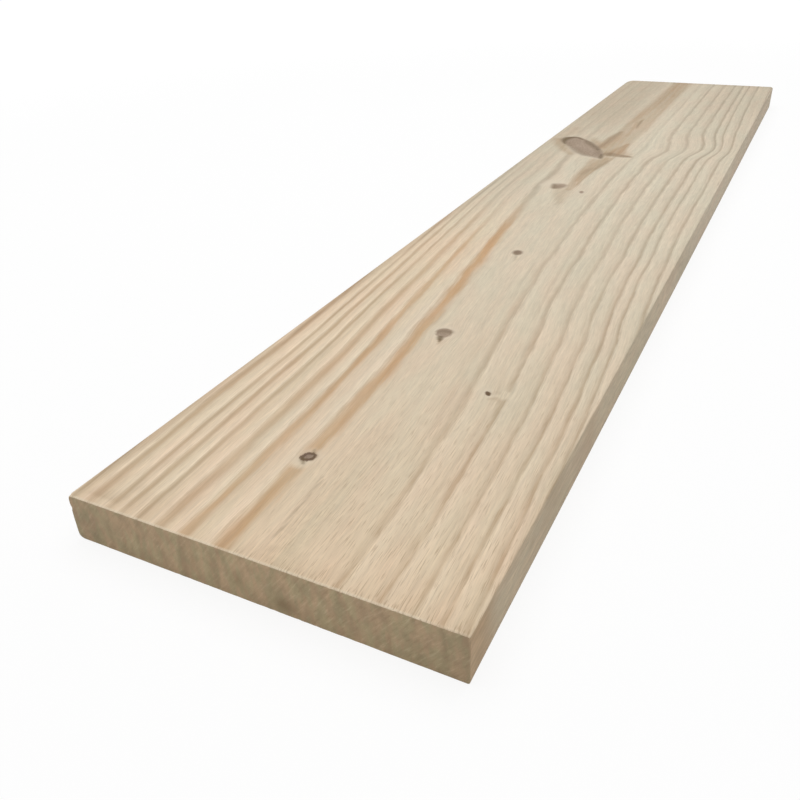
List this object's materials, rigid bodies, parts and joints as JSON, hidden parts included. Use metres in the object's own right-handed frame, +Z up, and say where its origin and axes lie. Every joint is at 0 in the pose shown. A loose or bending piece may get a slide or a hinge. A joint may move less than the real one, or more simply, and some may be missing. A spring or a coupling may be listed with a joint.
{
  "type": "timber plank",
  "caption": "Long flat planed softwood plank with square-sawn ends and eased edges, used as a board for shelving, decking, shuttering and general building work.",
  "frame": {"origin": "middle of the underside, on the surface that the plank lies on", "axes": "+X along the grain, from the end that is near in the picture to the far end; +Y across the width, towards the edge with the rounder arrises; +Z up through the thickness"},
  "size_m": [1.2, 0.22, 0.028],
  "materials": {
    "pine": "planed bare wood, matt, with knots and growth rings"
  },
  "bodies": {
    "root": {"plank": "pine"}
  },
  "joints": []
}
